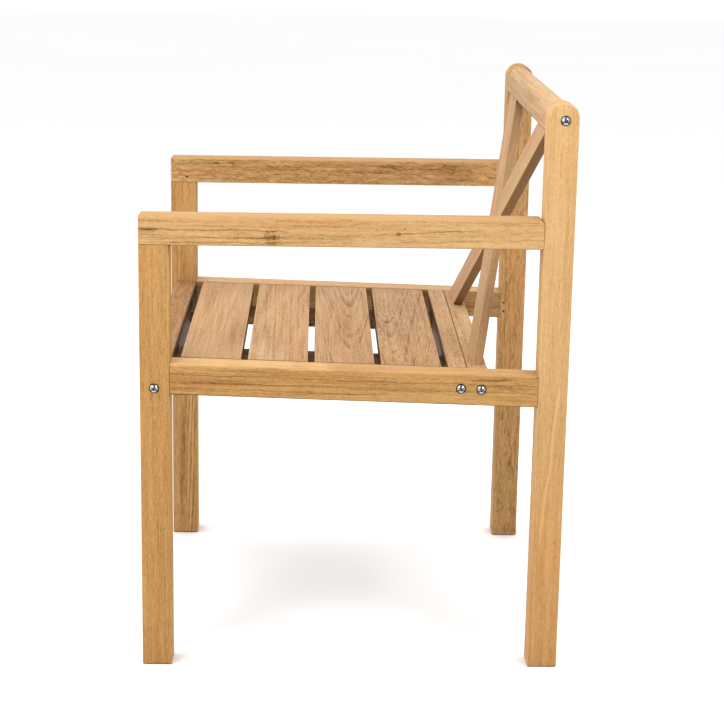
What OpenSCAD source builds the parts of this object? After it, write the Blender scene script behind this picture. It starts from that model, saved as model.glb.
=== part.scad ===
// Garden armchair with a slatted seat and a crossed back.
// The frame stands on the XY plane: +X is the sitter's left, -Y the front, +Z up.
// The origin is the centre of the footprint on the ground.

/* [Frame] */
// Overall width over the legs
frame_width = 620; // [580:10:680]
// Overall depth over the legs
frame_depth = 594; // [570:2:620]
// Height of the back posts
post_height = 810; // [790:2:840]
// Height of the top of the armrests
arm_height = 650; // [635:5:665]
// Side of the square timber used for legs and side rails
stock = 42; // [40:1:44]
// Height of an armrest
arm_thickness = 40; // [38:1:42]
// Height of a side rail
rail_height = 44; // [42:1:46]

/* [Seat] */
// Height of the seat at the front legs
seat_height = 444; // [430:2:456]
// Fall of the seat from the front legs to the back legs
seat_drop = 13; // [6:1:16]
// Width of a seat slat
slat_width = 84.5; // [82:0.5:85]
// Gap between seat slats
slat_gap = 9.5; // [8:0.5:10]
// Thickness of a seat slat
slat_thickness = 20; // [18:1:22]
// Thickness of the front rail
front_rail_thickness = 36; // [34:1:38]
// Height of the front rail
front_rail_height = 50; // [48:1:60]
// Width of a seat batten
batten_width = 62; // [56:1:66]
// Thickness of a seat batten
batten_thickness = 18; // [16:1:18]
// Distance between the centre lines of the seat battens
batten_spacing = 300; // [280:5:320]
// Thickness of the rear seat rail
rear_rail_thickness = 26.5; // [26:0.5:28]

/* [Back] */
// Width of a back diagonal
diagonal_width = 64; // [58:1:66]
// Thickness of a back diagonal
diagonal_thickness = 13.5; // [12:0.5:14]
// Angle between a diagonal and the horizontal, in the plane of the back
diagonal_angle = 40; // [39:0.5:42]
// Height of the top rail
top_rail_height = 41; // [40:1:43]
// Thickness of the top rail
top_rail_thickness = 36; // [35:0.5:38]
// Step down from the top of a post to the top rail
top_rail_step = 2.4; // [1:0.2:3]
// Thickness of the bottom rail of the back
bottom_rail_thickness = 28; // [26:0.5:30]

/* [Fastenings] */
// Diameter of a frame bolt
bolt_diameter = 8; // [6:1:8]
// Diameter of a bolt head
bolt_head_diameter = 14; // [13:0.5:15]
// Height of a bolt head
bolt_head_height = 4.4; // [4:0.1:5]
// Diameter of a tenon pin
pin_diameter = 4; // [3:0.5:4.5]
// Diameter of a locating dowel
dowel_diameter = 6; // [5:0.5:6]
// Diameter of a slat screw
screw_diameter = 4; // [3.5:0.5:4.5]

/* [Hidden] */
$fn = 48;
clearance = 0.2;

half_width = frame_width / 2;
half_depth = frame_depth / 2;
inner_x = half_width - stock;
front_inner_y = stock - half_depth;
back_inner_y = half_depth - stock;
post_radius = stock / 2;

// The seat plane falls gently from the front legs to the back legs.
rail_span = back_inner_y - front_inner_y;
seat_slope = atan2(seat_drop, rail_span);

// Mortise and tenon joints of the side frames
tenon_length = 16;
tenon_thickness = 16;
rail_tenon_top = 8;
rail_tenon_bottom = 38;
arm_tenon_margin = 7;
leg_tenon_length = 20;
leg_tenon_width = 26;
pin_setback = 6.5;
pin_length = 30;
pin_spacing = 15;
arm_end_radius = 6;

// Seat panel, measured back from the front legs along the seat plane
slat_count = 4;
front_gap = 11.5;
slat_end_gap = 4.5;
slat_length = 2 * (inner_x - slat_end_gap);
slat_pitch = slat_width + slat_gap;
rear_rail_y = front_gap + slat_count * slat_pitch;
bottom_rail_gap = 1;
bottom_rail_y = rear_rail_y + rear_rail_thickness + bottom_rail_gap;
front_rail_radius = 8;
batten_tenon_length = 12;
batten_tenon_width = 40;
batten_tenon_thickness = 9;

// Back panel: a flat cross, tenoned into the top rail and the bottom rail
head_setback = 3.3;
foot_setback = 8;
panel_tenon = 9;
head_y = back_inner_y + head_setback;
top_rail_setback = 1.2;
top_rail_front = back_inner_y + top_rail_setback;
top_rail_top = post_height - top_rail_step;
head_z = top_rail_top - top_rail_height;
foot_point = seat_point([bottom_rail_y + foot_setback, 0]);
back_lean = atan2(head_y - foot_point[0], head_z - foot_point[1]);
panel_height = norm([head_y - foot_point[0], head_z - foot_point[1]]);

// Where the bolts and the locating dowels cross the side frames, as [y, z]
leg_bolt_y = -stock / 2;
leg_bolt_drop = 35.5;
rail_bolt_drop = 20.5;
rail_bolt_setback = 3;
rear_bolt_y = rear_rail_y + rear_rail_thickness / 2 + rail_bolt_setback;
bottom_bolt_y = bottom_rail_y + bottom_rail_thickness / 2 + rail_bolt_setback;
top_bolt = [back_inner_y + 23, post_height - 24];
bolt_points = [
    seat_point([leg_bolt_y, -leg_bolt_drop]),
    seat_point([rear_bolt_y, -rail_bolt_drop]),
    seat_point([bottom_bolt_y, -rail_bolt_drop]),
    top_bolt
];
leg_dowel_drop = 14;
rail_dowel_drop = 36;
top_dowel = [back_inner_y + 10, post_height - 20];
dowel_points = [
    seat_point([leg_bolt_y, -leg_dowel_drop]),
    seat_point([rear_bolt_y - rail_bolt_setback, -rail_dowel_drop]),
    seat_point([bottom_bolt_y - rail_bolt_setback, -rail_dowel_drop]),
    top_dowel
];
dowel_depth = 12;
bolt_hole_diameter = bolt_diameter + 0.6;
bolt_length = stock + 30;
socket_across_flats = 5;
socket_depth = 2.8;
insert_diameter = bolt_diameter + 4;
insert_length = 25;
insert_depth = 34;

// Where the tenon pins enter the inner faces of the side frames, as [y, z]
arm_bottom = arm_height - arm_thickness;
pin_points = [
    [front_inner_y - pin_setback, seat_z(front_inner_y) - 16],
    [front_inner_y - pin_setback, seat_z(front_inner_y) - 16 - pin_spacing],
    [back_inner_y + pin_setback, seat_z(back_inner_y) - 18],
    [back_inner_y + pin_setback, seat_z(back_inner_y) - 18 - pin_spacing],
    [front_inner_y - stock / 2 + 6, arm_bottom + 9.5],
    [back_inner_y + pin_setback, arm_bottom + arm_thickness / 2 - pin_spacing / 2],
    [back_inner_y + pin_setback, arm_bottom + arm_thickness / 2 + pin_spacing / 2]
];

// Slat screws: two in each slat at each batten, driven up from below
screw_length = 30;
screw_head_diameter = 8;
screw_head_height = 2.5;
screw_inset = 20;

// A point given along and square to the seat plane, as a [y, z] of the frame
function seat_point(p) = [
    front_inner_y + p[0] * cos(seat_slope) + p[1] * sin(seat_slope),
    seat_height - p[0] * sin(seat_slope) + p[1] * cos(seat_slope)
];

// Height of the seat plane at a given y
function seat_z(y) = seat_height - (y - front_inner_y) * tan(seat_slope);

function slat_y(i) = front_gap + i * slat_pitch;

// Draws children on the sitter's left (side = 1) or right (side = -1).
module on_side(side) {
    mirror([side < 0 ? 1 : 0, 0, 0]) children();
}

// Draws children in the seat plane, with y running back from the front legs.
module on_seat() {
    translate([0, front_inner_y, seat_height]) rotate([-seat_slope, 0, 0]) children();
}

// Draws children in the plane of the back: x across, y up the panel, z forwards.
module on_back() {
    translate([0, foot_point[0], foot_point[1]]) rotate([90 - back_lean, 0, 0]) children();
}

// Extrudes an outline drawn in the YZ plane from x0 along +X.
module side_extrude(x0, length) {
    translate([x0, 0, 0]) rotate([90, 0, 90]) linear_extrude(length) children();
}

// A block that starts at x0 and is centred on the timber's thickness.
module tenon_block(fit, y0, y1, z0, z1) {
    x0 = inner_x + (stock - tenon_thickness) / 2;
    translate([x0 - fit, y0, z0])
        cube([tenon_thickness + 2 * fit, y1 - y0, z1 - z0]);
}

// Outline of a side rail with both its tenons, between the two legs
module rail_tenon_outline(fit) {
    y0 = front_inner_y - tenon_length - fit;
    y1 = back_inner_y + tenon_length + fit;
    polygon([
        [y0, seat_z(y0) - rail_tenon_top + fit],
        [y1, seat_z(y1) - rail_tenon_top + fit],
        [y1, seat_z(y1) - rail_tenon_bottom - fit],
        [y0, seat_z(y0) - rail_tenon_bottom - fit]
    ]);
}

module rail_tenons(fit = 0) {
    x0 = inner_x + (stock - tenon_thickness) / 2;
    side_extrude(x0 - fit, tenon_thickness + 2 * fit) rail_tenon_outline(fit);
}

module front_leg_tenon(fit = 0) {
    y0 = -half_depth + (stock - leg_tenon_width) / 2;
    tenon_block(fit, y0 - fit, y0 + leg_tenon_width + fit, arm_bottom, arm_bottom + leg_tenon_length + fit);
}

module arm_tenon(fit = 0) {
    tenon_block(
        fit,
        back_inner_y,
        back_inner_y + tenon_length + fit,
        arm_bottom + arm_tenon_margin - fit,
        arm_height - arm_tenon_margin + fit
    );
}

// Cylinders along X at [y, z] points, from x0 towards x1
module cross_rods(points, diameter, x0, x1) {
    for (p = points)
        translate([x0, p[0], p[1]]) rotate([0, 90, 0]) cylinder(d = diameter, h = x1 - x0);
}

module bolt_holes() {
    cross_rods(bolt_points, bolt_hole_diameter, inner_x - 1, half_width + 1);
}

module dowel_holes() {
    x0 = inner_x - dowel_depth - clearance;
    x1 = inner_x + dowel_depth + clearance;
    cross_rods(dowel_points, dowel_diameter + clearance, x0, x1);
}

module insert_holes() {
    x0 = inner_x - insert_depth;
    cross_rods(bolt_points, bolt_hole_diameter, x0 - 8, inner_x + 1);
    cross_rods(bolt_points, insert_diameter + clearance, x0, inner_x + 1);
}

module pin_holes() {
    cross_rods(pin_points, pin_diameter + clearance, inner_x - 1, inner_x + pin_length);
}

module both_sides() {
    for (side = [1, -1]) on_side(side) children();
}

module front_leg(side) {
    color("burlywood") on_side(side) difference() {
        union() {
            translate([inner_x, -half_depth, 0]) cube([stock, stock, arm_bottom]);
            front_leg_tenon();
        }
        rail_tenons(clearance);
        bolt_holes();
        dowel_holes();
        pin_holes();
    }
}

module back_leg(side) {
    color("burlywood") on_side(side) difference() {
        side_extrude(inner_x, stock) {
            translate([back_inner_y, 0]) square([stock, post_height - post_radius]);
            translate([half_depth - post_radius, post_height - post_radius]) circle(post_radius);
        }
        rail_tenons(clearance);
        arm_tenon(clearance);
        bolt_holes();
        dowel_holes();
        pin_holes();
    }
}

module armrest(side) {
    arm_length = back_inner_y + half_depth;
    color("burlywood") on_side(side) difference() {
        union() {
            side_extrude(inner_x, stock) {
                translate([-half_depth, arm_bottom])
                    square([arm_length - arm_end_radius, arm_thickness]);
                translate([-half_depth, arm_bottom])
                    square([arm_length, arm_thickness - arm_end_radius]);
                translate([back_inner_y - arm_end_radius, arm_height - arm_end_radius])
                    circle(arm_end_radius);
            }
            arm_tenon();
        }
        front_leg_tenon(clearance);
        pin_holes();
    }
}

module side_rail(side) {
    color("burlywood") on_side(side) difference() {
        union() {
            side_extrude(inner_x, stock) polygon([
                [front_inner_y, seat_z(front_inner_y)],
                [back_inner_y, seat_z(back_inner_y)],
                [back_inner_y, seat_z(back_inner_y) - rail_height],
                [front_inner_y, seat_z(front_inner_y) - rail_height]
            ]);
            rail_tenons();
        }
        bolt_holes();
        dowel_holes();
        pin_holes();
    }
}

// Stub tenons that join a batten to the front rail and the rear seat rail
module batten_tenons(side, fit = 0) {
    drop = slat_thickness + (batten_thickness + batten_tenon_thickness) / 2;
    on_seat() translate([
        side * batten_spacing / 2 - batten_tenon_width / 2 - fit,
        -batten_tenon_length - fit,
        -drop - fit
    ]) cube([
        batten_tenon_width + 2 * fit,
        rear_rail_y + 2 * (batten_tenon_length + fit),
        batten_tenon_thickness + 2 * fit
    ]);
}

module front_rail() {
    color("tan") difference() {
        on_seat() side_extrude(-inner_x, 2 * inner_x) {
            translate([-front_rail_thickness, -front_rail_height])
                square([front_rail_thickness, front_rail_height - front_rail_radius]);
            translate([front_rail_radius - front_rail_thickness, -front_rail_height])
                square([front_rail_thickness - front_rail_radius, front_rail_height]);
            translate([front_rail_radius - front_rail_thickness, -front_rail_radius])
                circle(front_rail_radius);
        }
        for (side = [1, -1]) batten_tenons(side, clearance);
        both_sides() insert_holes();
        both_sides() dowel_holes();
    }
}

module rear_seat_rail() {
    color("tan") difference() {
        on_seat() translate([-inner_x, rear_rail_y, -rail_height])
            cube([2 * inner_x, rear_rail_thickness, rail_height]);
        for (side = [1, -1]) batten_tenons(side, clearance);
        both_sides() insert_holes();
        both_sides() dowel_holes();
    }
}

// Screws of one batten, or the holes for them when fit is above zero
module batten_screws(side, fit = 0) {
    bottom = -slat_thickness - batten_thickness;
    on_seat() for (i = [0 : slat_count - 1], along = [screw_inset, slat_width - screw_inset])
        translate([side * batten_spacing / 2, slat_y(i) + along, bottom - fit]) {
            cylinder(d = screw_diameter + 2 * fit, h = screw_length + 2 * fit);
            cylinder(
                d1 = screw_head_diameter + 2 * fit,
                d2 = screw_diameter + 2 * fit,
                h = screw_head_height
            );
        }
}

module seat_batten(side) {
    color("tan") difference() {
        union() {
            on_seat() translate([
                side * batten_spacing / 2 - batten_width / 2,
                0,
                -slat_thickness - batten_thickness
            ]) cube([batten_width, rear_rail_y, batten_thickness]);
            batten_tenons(side);
        }
        batten_screws(side, clearance / 2);
    }
}

module seat_slat(i) {
    color("wheat") difference() {
        on_seat() translate([-slat_length / 2, slat_y(i), -slat_thickness])
            cube([slat_length, slat_width, slat_thickness]);
        for (side = [1, -1]) batten_screws(side, clearance / 2);
    }
}

// Outline of one diagonal in the plane of the back, cut level at both ends
module diagonal_outline(side, fit = 0) {
    reach = panel_height + 2 * inner_x;
    intersection() {
        translate([0, panel_height / 2]) rotate(side * diagonal_angle)
            square([reach, diagonal_width + 2 * fit], center = true);
        translate([-inner_x, -panel_tenon - fit])
            square([2 * inner_x, panel_height + 2 * (panel_tenon + fit)]);
    }
}

module diagonal_board(side, fit = 0) {
    on_back() translate([0, 0, -diagonal_thickness - fit])
        linear_extrude(diagonal_thickness + 2 * fit) diagonal_outline(side, fit);
}

// The two diagonals are halved into each other: one gives up its front half,
// the other its back half.
module back_diagonal(side) {
    half = diagonal_thickness / 2;
    cut_from = side > 0 ? -half : -diagonal_thickness - 1;
    cut_depth = side > 0 ? half + 1 : half + 1 + clearance;
    color("wheat") difference() {
        diagonal_board(side);
        on_back() translate([0, 0, cut_from]) linear_extrude(cut_depth) intersection() {
            diagonal_outline(-side, clearance);
            translate([0, panel_height / 2])
                square([panel_height, panel_height], center = true);
        }
    }
}

module back_top_rail() {
    radius = top_rail_thickness / 2;
    color("tan") difference() {
        side_extrude(-inner_x, 2 * inner_x) {
            translate([top_rail_front, head_z])
                square([top_rail_thickness, top_rail_height - radius]);
            translate([top_rail_front + radius, top_rail_top - radius]) circle(radius);
        }
        for (side = [1, -1]) diagonal_board(side, clearance);
        both_sides() insert_holes();
        both_sides() dowel_holes();
    }
}

module back_bottom_rail() {
    color("tan") difference() {
        on_seat() translate([-inner_x, bottom_rail_y, -rail_height])
            cube([2 * inner_x, bottom_rail_thickness, rail_height]);
        for (side = [1, -1]) diagonal_board(side, clearance);
        both_sides() insert_holes();
        both_sides() dowel_holes();
    }
}

// Button head with a hexagon socket, drawn upwards from z = 0
module bolt_head() {
    base_radius = bolt_head_diameter / 2;
    dome_radius = (pow(base_radius, 2) + pow(bolt_head_height, 2)) / (2 * bolt_head_height);
    difference() {
        translate([0, 0, bolt_head_height - dome_radius]) sphere(dome_radius);
        translate([0, 0, -dome_radius]) cube(2 * dome_radius, center = true);
        translate([0, 0, bolt_head_height - socket_depth])
            cylinder(d = socket_across_flats / cos(30), h = socket_depth + 1, $fn = 6);
    }
}

module frame_bolts(side) {
    color("silver") on_side(side) for (p = bolt_points)
        translate([half_width, p[0], p[1]]) rotate([0, 90, 0]) {
            bolt_head();
            translate([0, 0, -bolt_length]) cylinder(d = bolt_diameter, h = bolt_length + 1);
        }
}

module threaded_inserts(side) {
    x0 = inner_x - insert_depth;
    color("goldenrod") on_side(side) difference() {
        cross_rods(bolt_points, insert_diameter, x0, x0 + insert_length);
        cross_rods(bolt_points, bolt_diameter + clearance, x0 - 1, x0 + insert_length + 1);
    }
}

module locating_dowels(side) {
    color("peru") on_side(side)
        cross_rods(dowel_points, dowel_diameter, inner_x - dowel_depth, inner_x + dowel_depth);
}

module tenon_pins(side) {
    color("dimgray") on_side(side)
        cross_rods(pin_points, pin_diameter, inner_x, inner_x + pin_length - clearance);
}

module slat_screws() {
    color("silver") for (side = [1, -1]) batten_screws(side);
}

front_leg(1);  // left_front_leg
front_leg(-1);  // right_front_leg
back_leg(1);  // left_back_leg
back_leg(-1);  // right_back_leg
armrest(1);  // left_armrest
armrest(-1);  // right_armrest
side_rail(1);  // left_side_rail
side_rail(-1);  // right_side_rail
front_rail();
rear_seat_rail();
seat_batten(1);  // left_seat_batten
seat_batten(-1);  // right_seat_batten
seat_slat(0);  // seat_slat_1
seat_slat(1);  // seat_slat_2
seat_slat(2);  // seat_slat_3
seat_slat(3);  // seat_slat_4
back_top_rail();
back_bottom_rail();
back_diagonal(1);  // back_diagonal_left
back_diagonal(-1);  // back_diagonal_right
frame_bolts(1);  // left_frame_bolts
frame_bolts(-1);  // right_frame_bolts
threaded_inserts(1);  // left_threaded_inserts
threaded_inserts(-1);  // right_threaded_inserts
locating_dowels(1);  // left_locating_dowels
locating_dowels(-1);  // right_locating_dowels
tenon_pins(1);  // left_tenon_pins
tenon_pins(-1);  // right_tenon_pins
slat_screws();
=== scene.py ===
"""The looks of the garden armchair: eased teak boards, steel fastenings and a pale studio.

Every board keeps its CAD mesh. Modifiers ease its arrises, and its teak is a solid texture laid along the
board's own length, so the grain, the growth rings and the end grain agree on all six faces.
"""

import math
from collections import Counter
from dataclasses import dataclass

import bpy
import numpy as np
from mathutils import Matrix, Vector


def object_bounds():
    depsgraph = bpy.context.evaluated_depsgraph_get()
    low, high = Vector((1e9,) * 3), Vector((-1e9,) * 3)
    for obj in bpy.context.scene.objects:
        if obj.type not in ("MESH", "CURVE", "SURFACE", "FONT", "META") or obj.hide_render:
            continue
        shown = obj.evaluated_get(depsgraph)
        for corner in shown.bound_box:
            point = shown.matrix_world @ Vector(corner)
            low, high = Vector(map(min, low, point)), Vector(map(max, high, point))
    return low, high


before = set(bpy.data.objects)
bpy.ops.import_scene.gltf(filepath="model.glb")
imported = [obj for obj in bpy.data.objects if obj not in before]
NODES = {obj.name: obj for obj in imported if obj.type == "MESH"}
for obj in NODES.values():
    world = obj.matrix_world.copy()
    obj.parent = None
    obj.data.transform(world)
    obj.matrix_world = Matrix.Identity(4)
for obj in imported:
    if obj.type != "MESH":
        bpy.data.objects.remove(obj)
CAD_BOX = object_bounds()
MM = 0.001


# ---------------------------------------------------------------------------------------------------------
# Colours
# ---------------------------------------------------------------------------------------------------------


def rgb(red, green, blue):
    """A display colour from 0 to 255 as the linear colour that a shader takes."""

    def linear(value):
        value /= 255
        return value / 12.92 if value <= 0.04045 else ((value + 0.055) / 1.055) ** 2.4

    return (linear(red), linear(green), linear(blue), 1.0)


@dataclass(frozen=True)
class Tone:
    """The four colours of a piece of teak, from its palest early wood to its mineral lines."""

    pale: tuple
    body: tuple
    deep: tuple
    line: tuple


GOLDEN = Tone(rgb(193, 153, 98), rgb(171, 131, 78), rgb(140, 101, 57), rgb(80, 52, 26))
HONEY = Tone(rgb(201, 166, 117), rgb(184, 148, 100), rgb(154, 117, 71), rgb(100, 70, 38))
ROSY = Tone(rgb(190, 157, 117), rgb(165, 132, 94), rgb(133, 100, 66), rgb(80, 54, 30))
TAWNY = Tone(rgb(191, 153, 102), rgb(168, 129, 81), rgb(130, 94, 54), rgb(74, 50, 26))
BROWN = Tone(rgb(168, 132, 90), rgb(145, 111, 72), rgb(112, 82, 49), rgb(62, 42, 22))
# The colour of the painted light on the tops.
PAINTED_TOP_LIGHT_COLOUR = rgb(206, 170, 130)
BLUSH = rgb(255, 244, 238)
# The tint of the painted shade near the ground.
GROUND_SHADE_TINT = rgb(250, 239, 225)


# ---------------------------------------------------------------------------------------------------------
# How each board was cut and finished, and the light and shade painted on it
# ---------------------------------------------------------------------------------------------------------


@dataclass(frozen=True)
class Vein:
    """A dark streak along a board, or a pale one where its strength is below zero.

    Its sheet is square to the board's width, or turned round the length."""

    offset: float  # from the board's middle, where the streak begins
    start: float
    end: float
    drift: float = 0.0  # how far sideways it has moved at its end
    width: float = 1.4 * MM
    strength: float = 0.4
    turn: float = 0.0


@dataclass(frozen=True)
class Knot:
    """A small knot: where it lies in the board's own axes, and its radius."""

    place: tuple
    radius: float
    strength: float = 0.5


@dataclass(frozen=True)
class Cut:
    """How one board was cut from the log, how it is finished, and the light and shade painted on it."""

    tone: Tone
    pith: tuple  # the log's centre, across and through the board from its middle
    butts: tuple = ()  # which ends meet another piece: -1 for the low end, 1 for the high end
    shade: float = 0.0  # how much darker it is than its tone
    ring: float = 4.5 * MM  # usual width of a growth ring
    ring_strength: float = 0.16
    taper: float = 0.012  # how fast the rings close along the length
    streaks: float = 0.3  # strength of the scattered mineral lines
    figure: float = 0.15  # strength of the curly figure
    painted_top_shade: float = 0.0  # how much painted shade darkens the faces that look up
    bleached: float = 0.0  # how much painted light pales the faces that look up
    inner: float = 0.0  # how much painted shade darkens the faces that look into the frame
    edges: float = 0.0  # how much painted shade darkens the faces that look sideways, such as its two long edges
    warmed: float = 0.0  # how much painted shade darkens and warms its colour near the ground
    painted_gap_shade: float = 0.0  # how much painted shade darkens its edges and underside below the top face, for the shade in the gaps
    ease: float = 2.4 * MM  # radius of the arrises
    veins: tuple = ()
    knots: tuple = ()


FACE_UP = math.pi / 2  # turns a vein from a board's wide faces to its narrow ones
FAINT = 0.22

ARM_VEINS = (
    Vein(2 * MM, -300 * MM, -75 * MM, width=1.8 * MM, strength=0.3, turn=FACE_UP),
    Vein(1 * MM, -300 * MM, -250 * MM, width=4.0 * MM, strength=0.3, turn=FACE_UP),
    Vein(-10 * MM, -300 * MM, -90 * MM, width=1.4 * MM, strength=FAINT, turn=FACE_UP),
    Vein(-15 * MM, -260 * MM, -60 * MM, width=2.0 * MM, strength=FAINT, turn=FACE_UP),
    Vein(-8 * MM, -160 * MM, 20 * MM, width=6.0 * MM, strength=0.12, turn=FACE_UP),
    Vein(-2 * MM, 30 * MM, 190 * MM, drift=7 * MM, width=1.8 * MM, strength=0.3, turn=FACE_UP),
    Vein(-12 * MM, 60 * MM, 300 * MM, drift=6 * MM, width=1.6 * MM, strength=FAINT, turn=FACE_UP),
)
ARM_KNOTS = (
    Knot((-101 * MM, 0.0, -8 * MM), 12 * MM),
    Knot((70 * MM, 0.0, -1 * MM), 3.5 * MM),
    Knot((78 * MM, 0.0, 7 * MM), 1.5 * MM, strength=0.7),
)
FAR_ARM_VEINS = (
    Vein(6 * MM, 50 * MM, 200 * MM, width=18.0 * MM, strength=0.14, turn=FACE_UP),
    Vein(9 * MM, -60 * MM, 120 * MM, width=3.0 * MM, strength=0.14, turn=FACE_UP),
)
BACK_LEG_VEINS = (
    Vein(12 * MM, -230 * MM, 20 * MM, drift=-22 * MM, width=2.6 * MM, strength=-0.35),
    Vein(16 * MM, -220 * MM, 0 * MM, drift=-20 * MM, width=1.6 * MM, strength=0.12),
)
FAR_LEG_VEINS = (
    Vein(6 * MM, -260 * MM, 90 * MM, drift=-14 * MM, width=7.0 * MM, strength=0.14),
    Vein(1 * MM, -340 * MM, 20 * MM, drift=-11 * MM, width=1.8 * MM, strength=0.3),
    Vein(-1.5 * MM, -340 * MM, -20 * MM, drift=-10 * MM, width=3.0 * MM, strength=-0.25),
    Vein(-4.5 * MM, -340 * MM, -20 * MM, drift=-10 * MM, width=1.8 * MM, strength=0.25),
    Vein(-7 * MM, -340 * MM, -40 * MM, drift=-10 * MM, width=3.0 * MM, strength=-0.25),
    Vein(-9 * MM, -340 * MM, -80 * MM, drift=-10 * MM, width=2.2 * MM, strength=0.35),
)
RAIL_VEINS = (
    Vein(22 * MM, -320 * MM, -20 * MM, width=2.5 * MM, strength=-0.35),
    Vein(8 * MM, -300 * MM, 300 * MM, width=1.4 * MM, strength=FAINT),
    Vein(-3 * MM, -300 * MM, 300 * MM, width=1.8 * MM, strength=FAINT),
    Vein(-11 * MM, -300 * MM, 60 * MM, width=1.4 * MM, strength=FAINT),
    Vein(15.5 * MM, 150 * MM, 230 * MM, width=2.4 * MM, strength=0.42),
    Vein(5 * MM, 185 * MM, 245 * MM, width=7.0 * MM, strength=0.12),
)

TOP = (1,)  # the high end butts against another piece
BOTH = (-1, 1)
THIN_EASE = 1.6 * MM


def leg(tone, across, through, **finish):
    """A leg or an upright of a side frame."""
    return Cut(tone, (across, through), **finish)


def armrest(across, through, **finish):
    """An armrest, with painted shade on top. Its back end butts against the back leg."""
    return Cut(HONEY, (across, through), butts=TOP, painted_top_shade=0.6, **finish)


def seat_slat(across, through, **finish):
    """A slat of the seat, with painted shade along the lower part of its edges and on its underside."""
    return Cut(ROSY, (across, through), ease=1.8 * MM, painted_gap_shade=0.8, **finish)


def seat_batten(across, through):
    """A batten under the slats, darkened to paint the shade under the seat."""
    return Cut(BROWN, (across, through), butts=BOTH, shade=0.5, ease=THIN_EASE)


def diagonal(across, through):
    """A board of the cross in the back, with painted shade along its edges."""
    return Cut(ROSY, (across, through), butts=BOTH, ease=THIN_EASE, edges=0.5, ring_strength=0.12)


def cross_rail(tone, across, through, **finish):
    """A rail between two other pieces."""
    return Cut(tone, (across, through), butts=BOTH, **finish)


CUTS = {
    "left_front_leg": leg(
        GOLDEN, 0.050, 0.060, butts=TOP, shade=0.03, ring_strength=0.12, streaks=0.1, warmed=0.4
    ),
    "right_front_leg": leg(
        GOLDEN, -0.045, 0.070, butts=TOP, shade=-0.04, ring_strength=0.14, figure=0.5, veins=FAR_LEG_VEINS
    ),
    "left_back_leg": leg(
        HONEY, -0.090, 0.030, ring_strength=0.12, streaks=0.1, warmed=1.0, veins=BACK_LEG_VEINS
    ),
    "right_back_leg": leg(TAWNY, 0.040, 0.035, shade=0.03, streaks=0.4, figure=0.9),
    "left_armrest": armrest(0.035, -0.070, shade=0.06, ring_strength=0.14, veins=ARM_VEINS, knots=ARM_KNOTS),
    "right_armrest": armrest(-0.035, 0.060, shade=0.12, ring_strength=0.1, figure=1.0, veins=FAR_ARM_VEINS),
    "left_side_rail": cross_rail(
        GOLDEN, 0.070, 0.040, shade=0.05, ring=3.4 * MM, bleached=0.15, inner=0.6, veins=RAIL_VEINS
    ),
    "right_side_rail": cross_rail(TAWNY, 0.060, 0.045, streaks=0.4, bleached=0.4, inner=0.3, figure=0.6),
    "front_rail": cross_rail(BROWN, 0.030, 0.050, shade=0.16, figure=0.7, inner=0.8),
    "rear_seat_rail": cross_rail(ROSY, 0.050, 0.040, shade=0.04, ease=THIN_EASE, figure=0.5, inner=0.8),
    "left_seat_batten": seat_batten(0.020, 0.060),
    "right_seat_batten": seat_batten(-0.030, 0.050),
    "seat_slat_1": seat_slat(0.120, 0.070, shade=0.12, ring_strength=0.06, streaks=0.05),
    "seat_slat_2": seat_slat(0.090, 0.030, shade=0.06, ring=6.0 * MM, ring_strength=0.2),
    "seat_slat_3": seat_slat(0.010, 0.030, shade=0.12, ring=5.0 * MM, ring_strength=0.3, taper=0.06),
    "seat_slat_4": seat_slat(-0.025, 0.025, shade=0.16, ring_strength=0.36, taper=0.09, figure=0.4),
    "back_top_rail": cross_rail(ROSY, 0.030, 0.080, ring_strength=0.1, streaks=0.1),
    "back_bottom_rail": cross_rail(ROSY, -0.040, 0.050, shade=0.06, ease=THIN_EASE, figure=0.5),
    "back_diagonal_left": diagonal(0.060, 0.060),
    "back_diagonal_right": diagonal(-0.070, 0.060),
}


# ---------------------------------------------------------------------------------------------------------
# Boards
# ---------------------------------------------------------------------------------------------------------

TOUCH = 0.02 * MM  # a point this close to a plane lies on it
SHARP_ANGLE = math.radians(30)
FLAT_ANGLE = math.radians(0.5)
END_ON = 0.99  # cosine above which a face is an end of its board
SAME_WAY = 0.9999  # cosine above which two faces look the same way
SQUARE_ON = 0.05  # cosine below which two directions are square to each other
EASE_SEGMENTS = 4
LARGE_FACES_FIRST = 90  # above 50, the large faces set the shading of their corners


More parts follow.
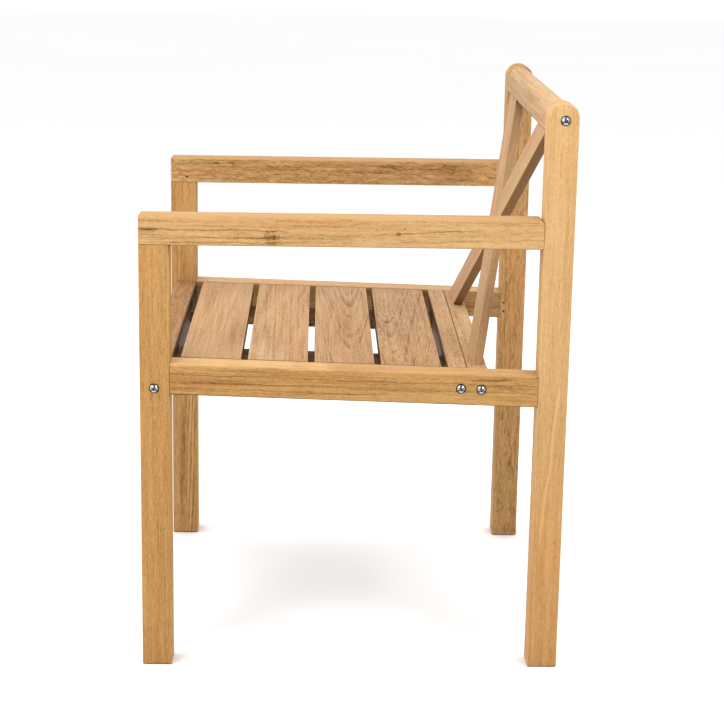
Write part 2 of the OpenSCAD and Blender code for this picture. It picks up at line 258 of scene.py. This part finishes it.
class Board:
    """A CAD node of timber, with its own axes worked out from its faces."""

    def __init__(self, node):
        self.node = node
        self.object = NODES[node]
        self.points = np.array([v.co for v in self.object.data.vertices])
        self.along, self.across, self.through = self._axes()
        turn = np.array([self.along, self.across, self.through])
        local = self.points @ turn.T
        low, high = local.min(0), local.max(0)
        self.centre = turn.T @ ((low + high) / 2)
        self.half = (high - low) / 2
        self.rotation = Matrix(turn.T.tolist())

    def _axes(self):
        """The directions of length, width and thickness. The two largest pairs of faces are the sides."""
        areas = {}
        for face in self.object.data.polygons:
            normal = np.array(face.normal)
            lead = normal[np.argmax(np.abs(normal))]
            key = tuple(np.round(normal * np.sign(lead), 3))
            areas[key] = areas.get(key, 0) + face.area
        ranked = sorted(areas, key=areas.get, reverse=True)
        through = np.array(ranked[0])
        through /= np.linalg.norm(through)
        side = next(np.array(k) for k in ranked[1:] if abs(np.dot(k, through)) < SQUARE_ON)
        along = np.cross(side, through)
        along /= np.linalg.norm(along)
        along *= np.sign(along[np.argmax(np.abs(along))])
        across = np.cross(through, along)
        return along, across, through

    def outer_planes(self, butts):
        """The planes that have the whole board behind them, as normals and offsets, but no end that butts."""
        normals, offsets = [], []
        for face in self.object.data.polygons:
            normal = np.array(face.normal)
            offset = float(normal @ self.points[face.vertices[0]])
            outer = (self.points @ normal).max() < offset + TOUCH
            butted = any(end * (normal @ self.along) > END_ON for end in butts)
            known = any(normal @ n > SAME_WAY and abs(offset - d) < TOUCH for n, d in zip(normals, offsets))
            if outer and not butted and not known:
                normals.append(normal)
                offsets.append(offset)
        return np.array(normals), np.array(offsets)

    def arrises(self, butts):
        """One weight per mesh edge: 1 where two outer faces meet at a sharp angle."""
        normals, offsets = self.outer_planes(butts)
        on_plane = np.abs(self.points @ normals.T - offsets) < TOUCH
        sharp = normals @ normals.T < math.cos(SHARP_ANGLE)
        weights = np.zeros(len(self.object.data.edges), np.float32)
        for edge in self.object.data.edges:
            a, b = edge.vertices
            shared = np.nonzero(on_plane[a] & on_plane[b])[0]
            weights[edge.index] = sharp[np.ix_(shared, shared)].any()
        return weights


def mark_edges(board, cut):
    """Marks the arrises to ease, keeps the joints, mortises and holes sharp, and smooths all else."""
    mesh = board.object.data
    if mesh.has_custom_normals:
        mesh.attributes.remove(mesh.attributes["custom_normal"])
    mesh.shade_smooth()
    eased = board.arrises(cut.butts)
    uses = Counter(key for face in mesh.polygons for key in face.edge_keys)
    for edge in mesh.edges:
        edge.use_edge_sharp = uses[edge.key] == 1 and not eased[edge.index]
    mesh.attributes.new("bevel_weight_edge", "FLOAT", "EDGE").data.foreach_set("value", eased)


def ease_arrises(board, cut):
    """Rounds the marked arrises, on faces that are joined up first, and shades the result evenly."""
    mark_edges(board, cut)
    weld = board.object.modifiers.new("weld", "WELD")
    weld.merge_threshold = TOUCH / 2
    flat = board.object.modifiers.new("whole faces", "DECIMATE")
    flat.decimate_type = "DISSOLVE"
    flat.angle_limit = FLAT_ANGLE
    flat.delimit = {"SHARP"}
    bevel = board.object.modifiers.new("eased arrises", "BEVEL")
    bevel.limit_method = "WEIGHT"
    bevel.width = cut.ease
    bevel.segments = EASE_SEGMENTS
    bevel.use_clamp_overlap = False
    even = board.object.modifiers.new("even shading", "WEIGHTED_NORMAL")
    even.keep_sharp = True
    even.weight = LARGE_FACES_FIRST


# ---------------------------------------------------------------------------------------------------------
# Shader graphs
# ---------------------------------------------------------------------------------------------------------


class Graph:
    """Adds and links the nodes of one material."""

    def __init__(self, name):
        self.material = bpy.data.materials.new(name)
        self.material.use_nodes = True
        self.tree = self.material.node_tree
        self.shader = self.tree.nodes["Principled BSDF"]
        self.coordinates = self.tree.nodes.new("ShaderNodeTexCoord")

    def put(self, socket, value):
        """Links a socket to another node's output, or sets its value."""
        if isinstance(value, bpy.types.NodeSocket):
            self.tree.links.new(value, socket)
        else:
            socket.default_value = value

    def put_all(self, sockets, values):
        for socket, value in zip(sockets, values):
            self.put(socket, value)

    def math(self, operation, *values):
        node = self.tree.nodes.new("ShaderNodeMath")
        node.operation = operation
        self.put_all(node.inputs, values)
        return node.outputs[0]

    def vector(self, operation, *values):
        node = self.tree.nodes.new("ShaderNodeVectorMath")
        node.operation = operation
        self.put_all(node.inputs, values)
        return node.outputs["Value" if operation in ("DOT_PRODUCT", "LENGTH") else "Vector"]

    def split(self, vector):
        node = self.tree.nodes.new("ShaderNodeSeparateXYZ")
        self.put(node.inputs[0], vector)
        return node.outputs

    def combine(self, *parts):
        node = self.tree.nodes.new("ShaderNodeCombineXYZ")
        self.put_all(node.inputs, parts)
        return node.outputs[0]

    def add(self, total, part, share):
        """The total plus a share of a part."""
        return self.math("MULTIPLY_ADD", part, share, total)

    def product(self, first, *others):
        for other in others:
            first = self.math("MULTIPLY", first, other)
        return first

    def centred(self, noise):
        """Noise from 0 to 1, moved so that its middle is 0."""
        return self.math("SUBTRACT", noise, 0.5)

    def board_space(self, board):
        """The point in the board's own axes: x along the grain, y across, z through, from its middle."""
        node = self.tree.nodes.new("ShaderNodeMapping")
        node.vector_type = "TEXTURE"
        node.inputs["Location"].default_value = board.centre
        node.inputs["Rotation"].default_value = board.rotation.to_euler()
        self.put(node.inputs["Vector"], self.coordinates.outputs["Object"])
        return node.outputs["Vector"]

    def noise(self, point, scale, detail=2.0, roughness=0.5, shift=0.0, output="Fac"):
        """Noise with its own number of cells per metre along each axis. Each shift is another pattern."""
        place = self.vector("MULTIPLY_ADD", point, scale, (shift, shift * 0.7, shift * 1.3))
        node = self.tree.nodes.new("ShaderNodeTexNoise")
        node.inputs["Scale"].default_value = 1.0
        node.inputs["Detail"].default_value = detail
        node.inputs["Roughness"].default_value = roughness
        self.put(node.inputs["Vector"], place)
        return node.outputs[output]

    def warp(self, point, scale, reach, shift):
        """The point moved about by slow noise, up to half of reach along each axis."""
        drift = self.noise(point, scale, detail=3, shift=shift, output="Color")
        drift = self.vector("SUBTRACT", drift, (0.5, 0.5, 0.5))
        return self.vector("MULTIPLY_ADD", drift, reach, point)

    def cell(self, value, shift):
        """A steady random number from 0 to 1 for each whole step of value."""
        node = self.tree.nodes.new("ShaderNodeTexWhiteNoise")
        node.noise_dimensions = "1D"
        self.put(node.inputs["W"], self.math("ADD", self.math("FLOOR", value), shift))
        return node.outputs["Value"]

    def step(self, value, low, high, to_low=0.0, to_high=1.0):
        """Takes value smoothly from to_low at low to to_high at high."""
        node = self.tree.nodes.new("ShaderNodeMapRange")
        node.interpolation_type = "SMOOTHSTEP"
        sockets = [node.inputs[name] for name in ("From Min", "From Max", "To Min", "To Max", "Value")]
        self.put_all(sockets, (low, high, to_low, to_high, value))
        return node.outputs["Result"]

    def ramp(self, value, stops):
        node = self.tree.nodes.new("ShaderNodeValToRGB")
        elements = node.color_ramp.elements
        while len(elements) < len(stops):
            elements.new(1.0)
        for element, (position, colour) in zip(elements, stops):
            element.position = position
            element.color = colour
        self.put(node.inputs["Fac"], value)
        return node.outputs["Color"]

    def blend(self, amount, first, second, mode="MIX"):
        node = self.tree.nodes.new("ShaderNodeMix")
        node.data_type = "RGBA"
        node.blend_type = mode
        self.put(node.inputs["Factor"], amount)
        self.put(node.inputs["A"], first)
        self.put(node.inputs["B"], second)
        return node.outputs["Result"]

    def bump(self, height, distance, strength):
        node = self.tree.nodes.new("ShaderNodeBump")
        node.inputs["Distance"].default_value = distance
        node.inputs["Strength"].default_value = strength
        self.put(node.inputs["Height"], height)
        self.put(self.shader.inputs["Normal"], node.outputs["Normal"])


# ---------------------------------------------------------------------------------------------------------
# Teak
# ---------------------------------------------------------------------------------------------------------


@dataclass(frozen=True)
class Layer:
    """One layer of noise in the grain."""

    cells: tuple  # per metre along, across and through the board
    shift: float
    share: float = 1.0  # how much of it darkens the wood
    detail: float = 3.0
    roughness: float = 0.5

    def over(self, g, point, seed):
        """The layer's value at a point."""
        return g.noise(point, self.cells, self.detail, self.roughness, seed + self.shift)


CLOUDS = Layer((2.5, 14, 14), 23, share=0.4)
FLAMES = Layer((5, 90, 90), 29, share=0.5, roughness=0.6)
FIBRES = Layer((7, 300, 300), 31, share=0.6, detail=4, roughness=0.6)
HAIRS = Layer((90, 700, 700), 37, share=0.7, roughness=0.6)
SPECKLES = Layer((420, 620, 620), 59, share=0.6, detail=2)
CURLS = Layer((34, 260, 260), 41, share=1.3, roughness=0.6)
PORES = Layer((90, 1300, 1300), 43, share=0.12, detail=1)
GAPS_IN_RINGS = Layer((12, 180, 180), 3, detail=2)
LINE_FIELD = Layer((1.5, 34, 34), 5, detail=2)
LINE_PATCHES = Layer((3, 22, 22), 11, detail=1)
VEIN_INK = Layer((60, 500, 500), 17)
KNOT_RIM = Layer((260, 260, 260), 19, detail=2)
BLUSHES = Layer((3, 26, 26), 53, detail=2)

BODY_DARKNESS = 0.3
# How much painted shade darkens the faces that look down.
PAINTED_UNDERSIDE_SHADE = 0.7
LINE_SHARE = 0.5
VEIN_WAVE = 9 * MM
VEIN_FADE = 25 * MM
GROUND_SHADE_BELOW = 0.15  # height under which a leg has its whole painted shade near the ground; the next height is where it has faded out
GROUND_SHADE_ABOVE = 0.6
GAP_SHADE_FROM = 5 * MM  # depth under a slat's top face past which its edges have their whole painted shade; the next depth is where it has faded out
GAP_SHADE_TO = 2 * MM
TEAK_SPECULAR = 0.1
TEAK_ROUGHNESS = 0.55


def growth_rings(g, point, cut, seed):
    """How dark the late wood is here: rings around the log's centre, each of its own width and strength."""
    x, y, z = g.split(g.warp(point, (2.4, 16, 16), (0, 14 * MM, 14 * MM), seed))
    to_pith = g.combine(0.0, g.math("SUBTRACT", y, cut.pith[0]), g.math("SUBTRACT", z, cut.pith[1]))
    count = g.math("DIVIDE", g.add(g.vector("LENGTH", to_pith), x, cut.taper), cut.ring)
    crowding = g.noise(g.combine(count, 0.0, 0.0), (0.45, 1, 1), shift=seed)
    count = g.add(count, crowding, 3.0)
    part = g.math("FRACT", count)
    rise = g.step(part, 0.15, 0.85)
    fall = g.step(part, 0.86, 1.0, 1.0, 0.0)
    strength = g.math("MULTIPLY_ADD", g.cell(count, seed), 0.8, 0.2)
    broken = g.step(GAPS_IN_RINGS.over(g, point, seed), 0.3, 0.6)
    return g.product(rise, fall, g.product(strength, broken))


def mineral_lines(g, point, cut, seed):
    """Thin dark lines that follow the grain for a hand's breadth, and fade."""
    field = g.centred(LINE_FIELD.over(g, point, seed))
    ridge = g.step(g.math("ABSOLUTE", field), 0.0, 0.03, 1.0, 0.0)
    patches = g.step(LINE_PATCHES.over(g, point, seed), 0.5, 0.64)
    return g.product(ridge, patches, cut.streaks)


def vein_line(g, point, vein, seed):
    """How dark one vein is here: a wavy line that swells, thins and fades out at both ends."""
    x, y, z = g.split(point)
    length = vein.end - vein.start
    wave = g.noise(g.combine(x, 0.0, 0.0), (13, 1, 1), detail=3, shift=seed + vein.offset / MM)
    level = g.math("MULTIPLY_ADD", g.math("SUBTRACT", x, vein.start), vein.drift / length, vein.offset)
    level = g.add(level, g.centred(wave), VEIN_WAVE)
    place = g.math("MULTIPLY_ADD", y, math.cos(vein.turn), g.math("MULTIPLY", z, math.sin(vein.turn)))
    away = g.math("ABSOLUTE", g.math("SUBTRACT", place, level))
    swelling = g.math("MULTIPLY_ADD", VEIN_INK.over(g, point, seed), 2.4, -0.2)
    line = g.step(g.math("DIVIDE", away, swelling), 0.2 * vein.width, vein.width, 1.0, 0.0)
    fade = min(VEIN_FADE, length / 3)
    begun = g.step(x, vein.start, vein.start + fade)
    unended = g.step(x, vein.end - fade, vein.end, 1.0, 0.0)
    return g.product(line, g.product(begun, unended), vein.strength)


def knot_mark(g, point, knot, seed):
    """How dark one knot is here: two rough rings round a dark core, drawn out along the grain."""
    spread = g.vector("MULTIPLY", g.vector("SUBTRACT", point, knot.place), (0.8, 1.0, 1.0))
    x, _, z = g.split(spread)
    away = g.math("DIVIDE", g.vector("LENGTH", g.combine(x, 0.0, z)), knot.radius)
    away = g.add(away, g.centred(KNOT_RIM.over(g, point, seed)), 1.6)
    rings = g.math("MULTIPLY_ADD", g.math("COSINE", g.math("MULTIPLY", away, 9.0)), 0.35, 0.65)
    inside = g.step(away, 0.35, 1.0, 1.0, 0.0)
    return g.product(rings, inside, knot.strength)


def edge_distance(g, point, board):
    """Distance to the nearest arris: the middle one of the distances to the board's three pairs of faces."""
    inset = g.vector("SUBTRACT", tuple(board.half), g.vector("ABSOLUTE", point))
    a, b, c = g.split(inset)
    low = g.math("MINIMUM", a, b)
    high = g.math("MAXIMUM", a, b)
    return g.math("MAXIMUM", low, g.math("MINIMUM", high, c))


def grain(g, point, cut, seed):
    """The parts of the grain that colour, roughness and bump share."""
    rings = growth_rings(g, point, cut, seed)
    fibre = FIBRES.over(g, point, seed)
    open_pores = g.step(PORES.over(g, point, seed), 0.6, 0.7)
    pores = g.product(open_pores, g.math("MULTIPLY_ADD", rings, 0.6, 0.4))
    return rings, fibre, pores


def darkness_of(g, point, cut, seed, rings, fibre, pores):
    """How dark the teak is here, from 0 for its palest wood to 1 for a mineral line."""
    curly = g.warp(point, (28, 28, 28), (36 * MM, 24 * MM, 24 * MM), seed + 47)
    parts = (
        (CLOUDS.over(g, point, seed), CLOUDS.share),
        (FLAMES.over(g, point, seed), FLAMES.share),
        (fibre, FIBRES.share),
        (HAIRS.over(g, point, seed), HAIRS.share),
        (SPECKLES.over(g, point, seed), SPECKLES.share),
        (CURLS.over(g, curly, seed), CURLS.share * cut.figure),
    )
    total = g.add(BODY_DARKNESS + cut.shade, rings, cut.ring_strength)
    for part, share in parts:
        total = g.add(total, g.centred(part), share)
    total = g.add(total, pores, PORES.share)
    total = g.add(total, mineral_lines(g, point, cut, seed), LINE_SHARE)
    for number, vein in enumerate(cut.veins):
        total = g.math("ADD", total, vein_line(g, point, vein, seed + number))
    for knot in cut.knots:
        total = g.math("ADD", total, knot_mark(g, point, knot, seed))
    return g.math("MINIMUM", g.math("MAXIMUM", total, 0.0), 1.0)


def painted_shading(g, point, board, cut, colour):
    """Paints light and shade into the colour: painted shade underneath, inside the frame, near the ground, on
    sideways faces and below a slat's top, painted shade on some tops and painted light on others.
    """
    normal = g.coordinates.outputs["Normal"]
    sideways, _, upward = g.split(normal)
    # Painted shade on the faces that look down.
    colour = g.blend(g.step(upward, -0.6, -0.1, PAINTED_UNDERSIDE_SHADE, 0.0), colour, cut.tone.line)
    # Painted shade on the faces that look up, such as an armrest's top.
    if cut.painted_top_shade:
        colour = g.blend(g.step(upward, 0.2, 0.9, 0.0, cut.painted_top_shade), colour, cut.tone.deep)
    # Painted light on the faces that look up.
    if cut.bleached:
        colour = g.blend(g.step(upward, 0.5, 0.9, 0.0, cut.bleached), colour, PAINTED_TOP_LIGHT_COLOUR)
    # Painted shade on the faces that look into the frame.
    if cut.inner:
        flat = g.vector("MULTIPLY", g.coordinates.outputs["Object"], (1.0, 1.0, 0.0))
        outward = g.vector("DOT_PRODUCT", g.vector("NORMALIZE", flat), normal)
        colour = g.blend(g.step(outward, -0.6, -0.1, cut.inner, 0.0), colour, cut.tone.line)
    # Painted shade near the ground: darker and warmer towards the foot of a leg.
    if cut.warmed:
        height = g.split(g.coordinates.outputs["Object"])[2]
        low = g.step(height, GROUND_SHADE_BELOW, GROUND_SHADE_ABOVE, cut.warmed, 0.0)
        colour = g.blend(low, colour, GROUND_SHADE_TINT, mode="MULTIPLY")
    # Painted shade on the faces that look sideways, such as a diagonal's long edges.
    if cut.edges:
        edge = g.step(g.math("ABSOLUTE", sideways), 0.2, 0.5, 0.0, cut.edges)
        colour = g.blend(edge, colour, cut.tone.deep)
    # Painted shade on a slat's edges and underside below its top face, for the shade in the gaps.
    if cut.painted_gap_shade:
        top = board.half[2]
        rough = g.step(g.split(point)[2], top - GAP_SHADE_FROM, top - GAP_SHADE_TO, cut.painted_gap_shade, 0.0)
        colour = g.blend(rough, colour, cut.tone.line)
    return colour


def teak(board, cut, seed):
    """Sanded teak with rings, fibres, open pores, mineral lines, end grain, and pale arrises from wear and a
    painted highlight.
    """
    g = Graph("teak_" + board.node)
    point = g.board_space(board)
    rings, fibre, pores = grain(g, point, cut, seed)
    darkness = darkness_of(g, point, cut, seed, rings, fibre, pores)
    tone = cut.tone
    colour = g.ramp(darkness, ((0.0, tone.pale), (0.36, tone.body), (0.68, tone.deep), (1.0, tone.line)))
    colour = g.blend(g.step(BLUSHES.over(g, point, seed), 0.35, 0.7), colour, BLUSH, mode="MULTIPLY")

    side_on = g.math("ABSOLUTE", g.vector("DOT_PRODUCT", g.coordinates.outputs["Normal"], tuple(board.along)))
    end_grain = g.step(side_on, 0.55, 0.85)
    colour = g.blend(g.math("MULTIPLY", end_grain, 0.35), colour, tone.deep)

    distance = g.add(edge_distance(g, point, board), fibre, 1.2 * MM)
    # Paler arrises: wear, and a painted highlight.
    wear_and_highlight = g.step(distance, 0.5 * MM, cut.ease + 0.8 * MM, 1.0, 0.0)
    colour = g.blend(g.math("MULTIPLY", wear_and_highlight, 0.4), colour, tone.pale)
    g.put(g.shader.inputs["Base Color"], painted_shading(g, point, board, cut, colour))

    g.shader.inputs["Specular IOR Level"].default_value = TEAK_SPECULAR
    roughness = g.math("MULTIPLY_ADD", darkness, 0.14, TEAK_ROUGHNESS)
    g.put(g.shader.inputs["Roughness"], g.add(roughness, end_grain, 0.15))
    height = g.math("MULTIPLY_ADD", pores, -1.0, g.math("MULTIPLY", fibre, 0.5))
    g.bump(g.add(height, rings, -0.3), distance=0.3 * MM, strength=0.4)
    return g.material


# ---------------------------------------------------------------------------------------------------------
# Fastenings
# ---------------------------------------------------------------------------------------------------------

HEAD_TOP = CAD_BOX[1][0]  # the bolt heads are the widest thing on the chair
CROWN = (HEAD_TOP - 2.77 * MM, HEAD_TOP - 1.37 * MM)  # foot and shoulder of a bolt head's round top
REFLECTION_LOBES = 3  # dark lobes round the crown: a painted reflection of a dim room


def steel(name, colour, roughness, dark_rim_and_reflection=None):
    """Turned steel with fine scratches. A darker colour lies on its rim and in its recess, and dark lobes on
    its crown are a painted reflection of a dim room.
    """
    g = Graph(name)
    point = g.coordinates.outputs["Object"]
    scratches = g.noise(point, (900, 9000, 900), detail=3)
    patches = g.noise(point, (260, 260, 260), detail=3, shift=7)
    g.shader.inputs["Metallic"].default_value = 1.0
    shade = tuple(0.7 * c for c in colour[:3]) + (1.0,)
    finish = g.ramp(patches, ((0.3, colour), (0.75, shade)))
    if dark_rim_and_reflection:
        _, y, z = g.split(g.coordinates.outputs["Normal"])
        # Painted reflection: dark lobes round the crown.
        lobes = g.math("SINE", g.math("MULTIPLY", g.math("ARCTAN2", z, y), REFLECTION_LOBES))
        finish = g.blend(g.step(lobes, -0.9, -0.1, 0.85, 0.0), finish, dark_rim_and_reflection)
        # A darker colour below the crown, on the rim and in the recess.
        height = g.math("ABSOLUTE", g.split(point)[0])
        finish = g.blend(g.step(height, *CROWN), dark_rim_and_reflection, finish)
    g.put(g.shader.inputs["Base Color"], finish)
    g.put(g.shader.inputs["Roughness"], g.math("MULTIPLY_ADD", scratches, 0.2, roughness))
    g.bump(scratches, distance=0.05 * MM, strength=0.25)
    return g.material


def pin_wood(name, pale, dark):
    """Small turned hardwood, seen mostly as end grain."""
    g = Graph(name)
    point = g.coordinates.outputs["Object"]
    fibre = g.noise(point, (120, 2200, 2200), detail=3)
    g.put(g.shader.inputs["Base Color"], g.ramp(fibre, ((0.3, pale), (0.7, dark))))
    g.put(g.shader.inputs["Roughness"], g.math("MULTIPLY_ADD", fibre, 0.2, 0.55))
    g.bump(fibre, distance=0.1 * MM, strength=0.4)
    return g.material


SEED_STEP = 7.3  # from one board's noise to the next


def dress(node, material):
    """Gives a CAD node its material."""
    for slot in NODES[node].material_slots:
        slot.material = material


def dress_boards():
    for number, (node, cut) in enumerate(CUTS.items()):
        board = Board(node)
        ease_arrises(board, cut)
        dress(node, teak(board, cut, number * SEED_STEP))


def dress_fastenings():
    stainless = steel("stainless_steel", rgb(186, 185, 188), 0.14, dark_rim_and_reflection=rgb(34, 30, 28))
    zinc = steel("zinc_plate", rgb(188, 184, 172), 0.35)
    dark_pin = pin_wood("dark_pin", rgb(88, 58, 38), rgb(46, 30, 20))
    beech = pin_wood("beech_dowel", rgb(214, 178, 132), rgb(190, 150, 104))
    for side in ("left", "right"):
        dress(side + "_frame_bolts", stainless)
        dress(side + "_threaded_inserts", zinc)
        dress(side + "_tenon_pins", dark_pin)
        dress(side + "_locating_dowels", beech)
    dress("slat_screws", stainless)


# ---------------------------------------------------------------------------------------------------------
# Studio
# ---------------------------------------------------------------------------------------------------------

CAMERA_PLACE = Vector((2.8388, -0.053, 1.0746))
CAMERA_YAW = 0.0249
CAMERA_PITCH = 0.2421
CAMERA_ROLL = 0.0172
CAMERA_LENS = 93.85  # millimetres, as is the sensor's width
CAMERA_SENSOR = 36
FLOOR_SIZE = 30.0
COVE_LIGHT = 1.35
ROOM_LIGHT = 0.3
SEAT_CENTRE = (0, 0, 0.45)
BACK_CENTRE = (0, 0, 0.7)


def add_camera():
    """Looks across the chair from the sitter's left, a little above the armrests."""
    ahead = Vector((
        -math.cos(CAMERA_YAW) * math.cos(CAMERA_PITCH),
        math.sin(CAMERA_YAW) * math.cos(CAMERA_PITCH),
        -math.sin(CAMERA_PITCH),
    ))
    right = Vector((math.sin(CAMERA_YAW), math.cos(CAMERA_YAW), 0))
    up = right.cross(ahead)
    turned_right = right * math.cos(CAMERA_ROLL) + up * math.sin(CAMERA_ROLL)
    turned_up = up * math.cos(CAMERA_ROLL) - right * math.sin(CAMERA_ROLL)
    data = bpy.data.cameras.new("camera")
    data.sensor_width = CAMERA_SENSOR
    data.lens = CAMERA_LENS
    camera = bpy.data.objects.new("camera", data)
    axes = Matrix((turned_right, turned_up, -ahead)).transposed()
    camera.matrix_world = Matrix.Translation(CAMERA_PLACE) @ axes.to_4x4()
    bpy.context.scene.collection.objects.link(camera)
    bpy.context.scene.camera = camera


def add_softbox(name, place, width, height, power, aim=SEAT_CENTRE):
    """A rectangular area light that faces a point."""
    data = bpy.data.lights.new(name, "AREA")
    data.shape = "RECTANGLE"
    data.size = width
    data.size_y = height
    data.energy = power
    light = bpy.data.objects.new(name, data)
    light.location = place
    light.rotation_euler = (Vector(aim) - Vector(place)).to_track_quat("-Z", "Y").to_euler()
    bpy.context.scene.collection.objects.link(light)


def add_floor():
    """A plain pale floor, faintly uneven in tone."""
    half = FLOOR_SIZE / 2
    corners = [(-half, -half, 0), (half, -half, 0), (half, half, 0), (-half, half, 0)]
    mesh = bpy.data.meshes.new("floor")
    mesh.from_pydata(corners, [], [(0, 1, 2, 3)])
    floor = bpy.data.objects.new("floor", mesh)
    bpy.context.scene.collection.objects.link(floor)
    g = Graph("pale_floor")
    tone = g.noise(g.coordinates.outputs["Object"], (0.8, 0.8, 0.8), detail=3)
    colour = g.ramp(tone, ((0.0, rgb(250, 250, 250)), (1.0, rgb(254, 254, 254))))
    g.put(g.shader.inputs["Base Color"], colour)
    g.shader.inputs["Roughness"].default_value = 0.9
    mesh.materials.append(g.material)


def add_world():
    """A white cove that lights the chair from behind it, and a dim room at the camera. Both look white."""
    world = bpy.data.worlds.new("studio")
    world.use_nodes = True
    tree = world.node_tree
    background = tree.nodes["Background"]
    direction = tree.nodes.new("ShaderNodeTexCoord").outputs["Generated"]
    split = tree.nodes.new("ShaderNodeSeparateXYZ")
    tree.links.new(direction, split.inputs[0])
    cove = tree.nodes.new("ShaderNodeMapRange")
    cove.interpolation_type = "SMOOTHSTEP"
    cove.inputs["From Min"].default_value = 0.7
    cove.inputs["From Max"].default_value = -0.2
    cove.inputs["To Min"].default_value = ROOM_LIGHT
    cove.inputs["To Max"].default_value = COVE_LIGHT
    tree.links.new(split.outputs["X"], cove.inputs["Value"])
    seen = tree.nodes.new("ShaderNodeLightPath").outputs["Is Camera Ray"]
    strength = tree.nodes.new("ShaderNodeMath")
    strength.operation = "MAXIMUM"
    tree.links.new(seen, strength.inputs[0])
    tree.links.new(cove.outputs["Result"], strength.inputs[1])
    tree.links.new(strength.outputs[0], background.inputs["Strength"])
    background.inputs["Color"].default_value = (1, 1, 1, 1)
    bpy.context.scene.world = world


def add_studio():
    bpy.context.scene.view_settings.view_transform = "Standard"
    add_world()
    add_softbox("overhead", place=(0.1, 0.0, 3.0), width=2.4, height=2.4, power=50)
    add_softbox("front_box", place=(0.6, -2.6, 1.7), width=1.6, height=1.6, power=22)
    for y in (-0.78, 0.78):
        add_softbox("near_strip", place=(1.05, y, 1.3), width=0.4, height=0.8, power=8.5, aim=BACK_CENTRE)
    add_floor()


dress_boards()
dress_fastenings()
add_studio()
add_camera()
